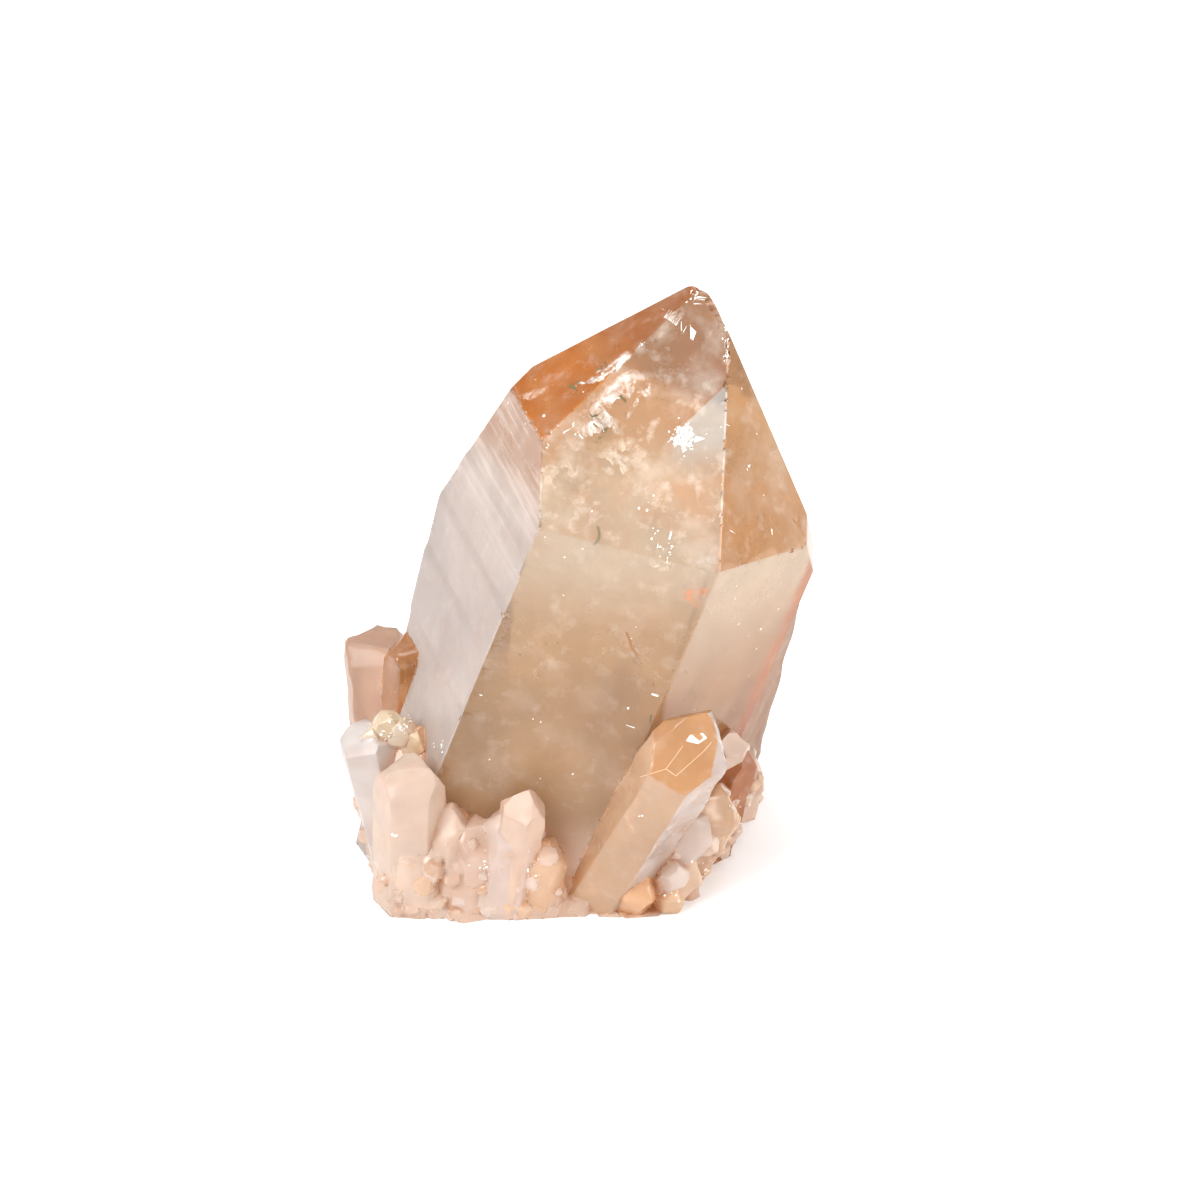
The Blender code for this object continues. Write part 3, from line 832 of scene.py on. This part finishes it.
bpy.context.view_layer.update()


def citrine_material():
    material = bpy.data.materials.new("citrine")
    material.use_nodes = True
    tree = material.node_tree
    shader = tree.nodes["Principled BSDF"]
    output = tree.nodes["Material Output"]
    shader.inputs["IOR"].default_value = 1.544
    shader.inputs["Transmission Weight"].default_value = 0.58
    shader.inputs["Metallic"].default_value = 0.0
    tint = tree.nodes.new("ShaderNodeAttribute")
    tint.attribute_name = "tint"
    haze = tree.nodes.new("ShaderNodeAttribute")
    haze.attribute_name = "haze"
    mottle = tree.nodes.new("ShaderNodeAttribute")
    mottle.attribute_name = "mottle"
    place = tree.nodes.new("ShaderNodeTexCoord")

    cloud = tree.nodes.new("ShaderNodeTexNoise")
    cloud.inputs["Scale"].default_value = 210
    cloud.inputs["Detail"].default_value = 7
    cloud.inputs["Roughness"].default_value = 0.62
    cloud.inputs["Distortion"].default_value = 0.4
    tree.links.new(place.outputs["Object"], cloud.inputs["Vector"])
    spread = tree.nodes.new("ShaderNodeMapRange")
    spread.inputs["From Min"].default_value = 0.32
    spread.inputs["From Max"].default_value = 0.7
    spread.inputs["To Min"].default_value = 0.87
    spread.inputs["To Max"].default_value = 1.1
    tree.links.new(cloud.outputs["Fac"], spread.inputs["Value"])
    lit = tree.nodes.new("ShaderNodeVectorMath")
    lit.operation = "SCALE"
    # White clouds, orange stains and, on the left face, silky lines across the crystal's axis, which are a painted
    # sheen on its striations
    colour_so_far = tint.outputs["Color"]
    for scale, low_edge, high_edge, most, colour, shift in (
        (170, 0.5, 0.68, 0.5, (204, 146, 104), 0.31),
        (290, 0.5, 0.68, 0.5, (236, 226, 212), 0.0),
        (700, 0.54, 0.7, 0.6, (252, 246, 236), 0.57),
    ):
        patch = tree.nodes.new("ShaderNodeTexNoise")
        patch.inputs["Scale"].default_value = scale
        patch.inputs["Detail"].default_value = 7
        patch.inputs["Roughness"].default_value = 0.6
        patch.inputs["Distortion"].default_value = 0.12
        moved = tree.nodes.new("ShaderNodeVectorMath")
        moved.operation = "ADD"
        moved.inputs[1].default_value = (shift, shift, shift)
        tree.links.new(place.outputs["Object"], moved.inputs[0])
        tree.links.new(moved.outputs["Vector"], patch.inputs["Vector"])
        amount = tree.nodes.new("ShaderNodeMapRange")
        amount.inputs["From Min"].default_value = low_edge
        amount.inputs["From Max"].default_value = high_edge
        amount.inputs["To Max"].default_value = most
        tree.links.new(patch.outputs["Fac"], amount.inputs["Value"])
        share = tree.nodes.new("ShaderNodeMath")
        share.operation = "MULTIPLY"
        tree.links.new(amount.outputs["Result"], share.inputs[0])
        tree.links.new(mottle.outputs["Fac"], share.inputs[1])
        blend = tree.nodes.new("ShaderNodeMix")
        blend.data_type = "RGBA"
        blend.inputs["B"].default_value = (*linear(colour), 1)
        tree.links.new(share.outputs["Value"], blend.inputs["Factor"])
        tree.links.new(colour_so_far, blend.inputs["A"])
        colour_so_far = blend.outputs["Result"]
    along = tree.nodes.new("ShaderNodeVectorMath")
    along.operation = "DOT_PRODUCT"
    along.inputs[1].default_value = main_axis * 1900
    tree.links.new(place.outputs["Object"], along.inputs[0])
    across = tree.nodes.new("ShaderNodeVectorMath")
    across.operation = "DOT_PRODUCT"
    across.inputs[1].default_value = Vector((0.35, -0.9, 0.1)) * 110
    tree.links.new(place.outputs["Object"], across.inputs[0])
    lines = tree.nodes.new("ShaderNodeCombineXYZ")
    tree.links.new(along.outputs["Value"], lines.inputs["X"])
    tree.links.new(across.outputs["Value"], lines.inputs["Y"])
    streaks = tree.nodes.new("ShaderNodeTexNoise")
    streaks.inputs["Scale"].default_value = 1
    streaks.inputs["Detail"].default_value = 4
    tree.links.new(lines.outputs["Vector"], streaks.inputs["Vector"])
    bright = tree.nodes.new("ShaderNodeMapRange")
    bright.inputs["From Min"].default_value = 0.48
    bright.inputs["From Max"].default_value = 0.66
    bright.inputs["To Max"].default_value = 0.5
    tree.links.new(streaks.outputs["Fac"], bright.inputs["Value"])
    silk = tree.nodes.new("ShaderNodeAttribute")
    silk.attribute_name = "silk"
    silky = tree.nodes.new("ShaderNodeMath")
    silky.operation = "MULTIPLY"
    tree.links.new(bright.outputs["Result"], silky.inputs[0])
    tree.links.new(silk.outputs["Fac"], silky.inputs[1])
    blend = tree.nodes.new("ShaderNodeMix")
    blend.data_type = "RGBA"
    blend.inputs["B"].default_value = (*linear((240, 230, 224)), 1)
    tree.links.new(silky.outputs["Value"], blend.inputs["Factor"])
    tree.links.new(colour_so_far, blend.inputs["A"])
    colour_so_far = blend.outputs["Result"]
    tree.links.new(colour_so_far, lit.inputs[0])
    tree.links.new(spread.outputs["Result"], lit.inputs["Scale"])
    tree.links.new(lit.outputs["Vector"], shader.inputs["Base Color"])

    fine = tree.nodes.new("ShaderNodeTexNoise")
    fine.inputs["Scale"].default_value = 900
    fine.inputs["Detail"].default_value = 5
    fine.inputs["Roughness"].default_value = 0.7
    tree.links.new(place.outputs["Object"], fine.inputs["Vector"])
    rough = tree.nodes.new("ShaderNodeMapRange")
    rough.inputs["From Min"].default_value = 0.35
    rough.inputs["From Max"].default_value = 0.75
    rough.inputs["To Min"].default_value = 0.88
    rough.inputs["To Max"].default_value = 1.2
    tree.links.new(fine.outputs["Fac"], rough.inputs["Value"])
    dull = tree.nodes.new("ShaderNodeMath")
    dull.operation = "MULTIPLY"
    dull.use_clamp = True
    tree.links.new(haze.outputs["Fac"], dull.inputs[0])
    tree.links.new(rough.outputs["Result"], dull.inputs[1])
    # Faces are either clear or frosted: nothing lies between these two limits
    clear = tree.nodes.new("ShaderNodeMath")
    clear.operation = "MINIMUM"
    clear.inputs[1].default_value = 0.245
    tree.links.new(dull.outputs["Value"], clear.inputs[0])
    frosted = tree.nodes.new("ShaderNodeMath")
    frosted.operation = "MAXIMUM"
    frosted.inputs[1].default_value = 0.31
    tree.links.new(dull.outputs["Value"], frosted.inputs[0])
    is_frosted = tree.nodes.new("ShaderNodeMath")
    is_frosted.operation = "GREATER_THAN"
    is_frosted.inputs[1].default_value = 0.27
    tree.links.new(haze.outputs["Fac"], is_frosted.inputs[0])
    either = tree.nodes.new("ShaderNodeMix")
    tree.links.new(is_frosted.outputs["Value"], either.inputs["Factor"])
    tree.links.new(clear.outputs["Value"], either.inputs["A"])
    tree.links.new(frosted.outputs["Value"], either.inputs["B"])
    tree.links.new(either.outputs["Result"], shader.inputs["Roughness"])

    relief = tree.nodes.new("ShaderNodeBump")
    relief.inputs["Strength"].default_value = 0.12
    relief.inputs["Distance"].default_value = 0.00005
    tree.links.new(fine.outputs["Fac"], relief.inputs["Height"])
    tree.links.new(relief.outputs["Normal"], shader.inputs["Normal"])

    absorb = tree.nodes.new("ShaderNodeVolumeAbsorption")
    absorb.inputs["Color"].default_value = (0.93, 0.78, 0.58, 1)
    absorb.inputs["Density"].default_value = 36
    tree.links.new(absorb.outputs["Volume"], output.inputs["Volume"])
    return material


crystal.data.materials.clear()
crystal.data.materials.append(citrine_material())
for polygon in crystal.data.polygons:
    polygon.material_index = 0
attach(crystal, "root")
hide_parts("citrine_crystal")

# Inside the crystal: healed cracks that hang in it as white veils, a star-shaped crack under the front tip face, sparks
# of tiny cracks and a few dark threads. They are part of the same quartz and lie within it, so they are thin sheets and
# flakes that ride with it. The same object also carries painted highlights laid on the surface: peach lines along the
# edges of the leaning front crystal, a white facet at its tip and white glints on the foot.

VEIL_SEED = 17
VIEW = Vector((0, math.cos(elevation), -math.sin(elevation)))
WHITE = (252, 248, 240)
CLOUD = (240, 224, 204)
OLIVE = (120, 110, 84)
DEEP_OLIVE = (104, 98, 66)
RUST = (150, 104, 66)
PINK = (240, 150, 110)
PEACH = (236, 204, 170)
# Veils: two ends in mm, width in mm, how strong, colour and how crumpled
VEILS = (
    ((4.9, -7.5, 40.9), (9.0, -6.2, 44.4), 1.9, 0.95, WHITE, 0.35),
    ((5.0, -7.3, 40.7), (7.6, -6.5, 43.2), 0.9, 0.8, OLIVE, 0.3),
    ((5.9, -10.6, 38.3), (10.2, -7.4, 42.8), 2.3, 0.9, WHITE, 0.4),
    ((6.6, -9.9, 39.4), (7.8, -9.0, 40.6), 1.1, 0.8, OLIVE, 0.3),
    ((11.2, -6.2, 45.2), (13.4, -4.9, 47.3), 1.6, 0.35, CLOUD, 0.3),
    ((10.9, -12.6, 35.0), (11.8, -15.2, 30.2), 2.4, 0.85, CLOUD, 0.4),
    ((7.0, -11.6, 36.6), (9.6, -10.6, 39.0), 3.0, 0.5, CLOUD, 0.5),
    ((3.2, -11.8, 36.8), (6.0, -12.0, 36.0), 2.6, 0.45, CLOUD, 0.5),
    ((2.0, -14.0, 34.5), (3.0, -14.2, 33.6), 1.0, 0.95, OLIVE, 0.2),
    ((9.2, -14.6, 24.0), (10.4, -14.6, 20.6), 0.8, 0.5, RUST, 0.2),
    ((12.9, -15.4, 29.2), (13.7, -15.4, 28.2), 1.0, 0.7, PINK, 0.2),
    ((0.8, -5.5, 41.0), (3.0, -6.0, 41.3), 1.2, 0.5, CLOUD, 0.3),
)
# Threads: points in mm, width in mm, colour
THREADS = (
    (((6.6, -14.9, 34.5), (6.75, -15.0, 33.8), (6.6, -15.0, 33.1), (6.25, -15.0, 32.6)), 0.2, OLIVE),
    (((8.8, -14.9, 25.2), (9.1, -14.9, 24.5), (9.2, -14.9, 23.9), (9.7, -14.9, 23.2)), 0.18, RUST),
    (((9.9, -14.8, 18.3), (10.1, -14.8, 17.6)), 0.3, OLIVE),
    (((9.75, -6.3, 45.7), (10.2, -6.6, 45.2)), 0.2, RUST),
    (((21.4, -8.2, 31.3), (21.9, -7.8, 30.9), (22.1, -7.5, 31.4)), 0.14, RUST),
)
# Dark spots where a crack lets one look into the depth: place and size in mm, and how many flakes
DARK_SPOTS = (((4.9, -7.1, 41.9), 0.5, 5), ((7.0, -6.0, 43.5), 0.35, 4), ((6.6, -9.8, 40.4), 0.4, 4),
              ((8.7, -8.9, 41.6), 0.35, 4), ((6.6, -10.7, 39.2), 0.3, 3), ((2.2, -14.2, 34.0), 0.35, 4))
# Ribs: a row of short strokes under the broken tip, like a thumb print
RIBS_FROM = (11.4, -5.1, 47.1)
RIBS_TO = (13.9, -6.5, 45.5)
RIB = (0.26, 0.36, 0.5)
RIB_COUNT = 15
STAR = (13.05, -10.4, 39.1)
STAR_REACH = 1.05
STAR_FLAKES = 110
SHALLOW = 1.6
PROUD = 0.02
SPARK_COUNT = 320
SPARK_SIZE = (0.05, 0.16)
CLUSTERS = (((4.9, -10.2, 39.2), 0.5, 10), ((6.5, -9.8, 39.8), 0.6, 12), ((3.3, -11.0, 38.2), 0.4, 7),
            ((11.5, -14.9, 32.5), 0.9, 16), ((10.6, -12.9, 34.7), 0.7, 12), ((14.3, -4.5, 48.1), 0.9, 24),
            ((16.0, -6.2, 45.6), 0.7, 14), ((10.0, -6.2, 45.3), 0.4, 6), ((6.4, -7.4, 43.2), 0.5, 8),
            ((16.1, -5.8, 46.4), 0.45, 24), ((16.2, -7.0, 44.6), 0.4, 22), ((15.0, -4.4, 48.2), 0.6, 16))

veil_source = random.Random(VEIL_SEED)
inner = bmesh.new()
veil_tint = inner.loops.layers.float_color.new("tint")
veil_cover = inner.verts.layers.float.new("cover")


def add_face(corners, covers, colour):
    verts = []
    for corner, cover in zip(corners, covers):
        vert = inner.verts.new(corner)
        vert[veil_cover] = cover
        verts.append(vert)
    face = inner.faces.new(verts)
    for loop in face.loops:
        loop[veil_tint] = (*colour, 1)


def add_sheet(start, end, width, strength, colour, crumple):
    """A crumpled sheet between two points that fades towards its rim."""
    start, end = Vector(start), Vector(end)
    along = end - start
    across = along.cross(VIEW).normalized() * width
    steps, lanes = 26, 12
    shift = Vector([veil_source.uniform(-50, 50) for axis in range(3)])
    rows = []
    for step in range(steps + 1):
        row = []
        for lane in range(lanes + 1):
            share = step / steps
            side = lane / lanes - 0.5
            place = start + along * share + across * side * (0.55 + 0.9 * math.sin(math.pi * share) ** 0.6) * 0.8
            ripple = noise.noise(place * 0.9 + shift) + 0.5 * noise.noise(place * 2.6 + shift)
            place = place + VIEW * crumple * ripple + across * 0.25 * noise.noise(place * 0.7 - shift)
            rim = min(1.0, 3.2 * math.sin(math.pi * share)) * min(1.0, 2.6 * (0.5 - abs(side)) * 2)
            vert = inner.verts.new(place)
            vert[veil_cover] = strength * rim
            row.append(vert)
        rows.append(row)
    for lower, upper in zip(rows, rows[1:]):
        for corners in zip(lower, lower[1:], upper[1:], upper):
            face = inner.faces.new(corners)
            for loop in face.loops:
                loop[veil_tint] = (*colour, 1)


def add_flake(place, size, colour, cover=3.0):
    """A small flat flake at a slant."""
    facing = (-VIEW + Vector([veil_source.gauss(0, 0.5) for axis in range(3)])).normalized()
    first = facing.orthogonal().normalized()
    second = facing.cross(first)
    sides = veil_source.choice((3, 4, 4, 5))
    turn = veil_source.uniform(0, math.tau)
    stretch = veil_source.uniform(0.35, 1.0)
    corners = []
    for side in range(sides):
        angle = turn + math.tau * side / sides + veil_source.uniform(-0.3, 0.3)
        reach = size * veil_source.uniform(0.7, 1.2)
        corners.append(place + first * reach * math.cos(angle) + second * reach * stretch * math.sin(angle))
    add_face(corners, [cover] * sides, colour)


for start, end, width, strength, colour, crumple in VEILS:
    add_sheet(start, end, width, strength, linear(colour), crumple)
for points, width, colour in THREADS:
    for first, last in zip(points, points[1:]):
        first, last = Vector(first), Vector(last)
        side = (last - first).cross(VIEW).normalized() * width / 2
        add_face((first - side, last - side * 0.8, last + side * 0.8, first + side), [1.6] * 4, linear(colour))
for number in range(RIB_COUNT):
    foot = Vector(RIBS_FROM).lerp(Vector(RIBS_TO), (number + veil_source.uniform(-0.3, 0.3)) / RIB_COUNT)
    top = foot + Vector(RIB) * veil_source.uniform(0.6, 1.3)
    side = (top - foot).cross(VIEW).normalized() * veil_source.uniform(0.03, 0.06)
    add_face((foot - side, top - side * 0.4, top + side * 0.4, foot + side), [1.6] * 4, linear(WHITE))
for centre, size, count in DARK_SPOTS:
    for number in range(count):
        out = Vector([veil_source.gauss(0, 0.5) for axis in range(3)]) * size
        add_flake(Vector(centre) + out, size * veil_source.uniform(0.25, 0.6), linear(DEEP_OLIVE), 1.6)
star = Vector(STAR)
for number in range(STAR_FLAKES):
    out = Vector([veil_source.gauss(0, 0.45) for axis in range(3)])
    out -= VIEW * out.dot(VIEW) * 0.6
    size = veil_source.uniform(0.08, 0.3) * (0.45 if out.length > 0.9 else 1.0)
    add_flake(star + out * STAR_REACH, size, linear(WHITE))
for centre, reach, count in CLUSTERS:
    for number in range(count):
        out = Vector([veil_source.gauss(0, 0.5) for axis in range(3)]) * reach
        add_flake(Vector(centre) + out, veil_source.uniform(0.05, 0.15), linear(WHITE))
fronts = ("prism_front", "tip_front", "prism_right", "tip_left", "tip_right", "prism_left")
# Painted highlights on the surface: bright lines along the edges of the leaning front crystal and white glints on the
# foot. Each point is where a line from the camera's place through a point at this x and z, 16 mm in front of the axis,
# meets the surface
LOOKING_FROM = Vector((6.67, -322.11, 184.16))
MARK_DEPTH = -16.0
PAINTED_EDGE_LINES = (
    (((9.79, 12.71), (11.81, 13.42), (12.59, 12.8), (14.75, 15.02), (15.4, 15.9)), 0.035, PEACH),
    (((11.81, 13.42), (13.27, 15.73)), 0.03, PEACH),
)
GLINTS = (((17.07, 10.2), 0.5, 10), ((18.3, 10.9), 0.4, 8), ((9.8, 9.3), 0.2, 3),
          ((-8.4, 17.3), 0.9, 16), ((-9.6, 16.4), 0.8, 12), ((-5.8, 15.5), 0.5, 8), ((-9.5, 7.5), 0.3, 3),
          ((-2.6, 4.5), 1.6, 10), ((1.2, 4.6), 1.4, 10), ((14.8, 4.2), 1.2, 10), ((12.6, 1.9), 1.0, 6))


# A painted highlight: the white facet at the tip of the leaning front crystal, its corners given in the same way
PAINTED_GLINT_FACET = ((13.34, 15.91), (13.65, 16.44), (14.65, 16.61), (14.97, 16.17), (14.28, 15.64))


def seen_at(x, z, lift=0.02):
    """The point of the surface seen from the camera's place at this x and z, or None."""
    ray = (Vector((x, MARK_DEPTH, z)) - LOOKING_FROM).normalized()
    hit, facing, index, distance = around.ray_cast(LOOKING_FROM, ray)
    return None if hit is None else hit - ray * lift


placed = 0
while placed < SPARK_COUNT:
    place = Vector((veil_source.uniform(-14, 24), veil_source.uniform(-18, 4), veil_source.uniform(3, 49)))
    depths = {name: distance - outward.dot(place) for name, (outward, distance) in world_planes.items()}
    nearest = min(depths, key=lambda name: depths[name])
    second = sorted(depths.values())[1]
    if nearest not in fronts or not 0.25 < depths[nearest] < 2.2 or second < 0.9:
        continue
    placed += 1
    add_flake(place, veil_source.uniform(*SPARK_SIZE) * veil_source.choice((0.6, 1.0, 1.4)), linear(WHITE))
inner_data = bpy.data.meshes.new("veils_and_painted_highlights")
# The cracks reach the surface: each point is drawn towards the nearest face, and none stands out of it
# by more than a hair
for vert in inner.verts:
    for name in fronts:
        outward, distance = world_planes[name]
        depth = distance - outward.dot(vert.co)
        if depth < SHALLOW:
            drawn = (depth - SHALLOW * 0.5) * 0.2 if depth < SHALLOW * 0.8 else depth * 0.5
            vert.co += outward * (depth - max(drawn, -PROUD))
for turn in range(3):
    for vert in inner.verts:
        for outward, distance in world_planes.values():
            over = outward.dot(vert.co) - distance - PROUD
            if over > 0:
                vert.co -= outward * over
# Painted edge highlights as thin peach strips on the leaning front crystal
for points, width, colour in PAINTED_EDGE_LINES:
    placed_points = []
    for (left, left_z), (right, right_z) in zip(points, points[1:]):
        for step in range(8):
            share = step / 8
            placed_points.append(seen_at(left + (right - left) * share, left_z + (right_z - left_z) * share))
    for first, last in zip(placed_points, placed_points[1:]):
        if first is None or last is None or (last - first).length > 1.5:
            continue
        side = (last - first).cross(VIEW).normalized() * width / 2
        add_face((first - side, last - side, last + side, first + side), [1.6] * 4, linear(colour))
# Painted highlight: an opaque white facet on the tip
facet = [seen_at(x, z) for x, z in PAINTED_GLINT_FACET]
if None not in facet:
    add_face(facet, [3.0] * len(facet), linear(WHITE))
# Painted glints: white flakes on the foot's surface
for (x, z), reach, count in GLINTS:
    for number in range(count):
        place = seen_at(x + veil_source.gauss(0, 0.5) * reach, z + veil_source.gauss(0, 0.5) * reach)
        if place is not None:
            add_flake(place, veil_source.uniform(0.06, 0.2), linear(WHITE))
bmesh.ops.scale(inner, vec=Vector((1, 1, 1)) * MM, verts=inner.verts[:])
inner.to_mesh(inner_data)
inner.free()
veils_and_painted_highlights = bpy.data.objects.new("veils_and_painted_highlights", inner_data)
scene.collection.objects.link(veils_and_painted_highlights)

veil_material = bpy.data.materials.new("healed_cracks_and_painted_highlights")
veil_material.use_nodes = True
tree = veil_material.node_tree
shader = tree.nodes["Principled BSDF"]
shader.inputs["IOR"].default_value = 1.3
shader.inputs["Metallic"].default_value = 0.0
place = tree.nodes.new("ShaderNodeTexCoord")
tint = tree.nodes.new("ShaderNodeAttribute")
tint.attribute_name = "tint"
cover = tree.nodes.new("ShaderNodeAttribute")
cover.attribute_name = "cover"
wisps = tree.nodes.new("ShaderNodeTexNoise")
wisps.inputs["Scale"].default_value = 900
wisps.inputs["Detail"].default_value = 6
wisps.inputs["Roughness"].default_value = 0.7
wisps.inputs["Distortion"].default_value = 0.8
tree.links.new(place.outputs["Object"], wisps.inputs["Vector"])
thin = tree.nodes.new("ShaderNodeMapRange")
thin.inputs["From Min"].default_value = 0.42
thin.inputs["From Max"].default_value = 0.68
tree.links.new(wisps.outputs["Fac"], thin.inputs["Value"])
# Flakes and threads are solid all over: their cover is above one
full = tree.nodes.new("ShaderNodeMath")
full.operation = "GREATER_THAN"
full.inputs[1].default_value = 1.2
tree.links.new(cover.outputs["Fac"], full.inputs[0])
veiled = tree.nodes.new("ShaderNodeMath")
veiled.operation = "MULTIPLY"
tree.links.new(thin.outputs["Result"], veiled.inputs[0])
tree.links.new(cover.outputs["Fac"], veiled.inputs[1])
seen = tree.nodes.new("ShaderNodeMath")
seen.operation = "MAXIMUM"
seen.use_clamp = True
tree.links.new(full.outputs["Value"], seen.inputs[0])
tree.links.new(veiled.outputs["Value"], seen.inputs[1])
tree.links.new(seen.outputs["Value"], shader.inputs["Alpha"])
tree.links.new(tint.outputs["Color"], shader.inputs["Base Color"])
gloss = tree.nodes.new("ShaderNodeMapRange")
gloss.inputs["To Min"].default_value = 0.2
gloss.inputs["To Max"].default_value = 0.5
tree.links.new(wisps.outputs["Fac"], gloss.inputs["Value"])
tree.links.new(gloss.outputs["Result"], shader.inputs["Roughness"])
inner_data.materials.append(veil_material)
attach(veils_and_painted_highlights, "root")
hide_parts("citrine_crystal")
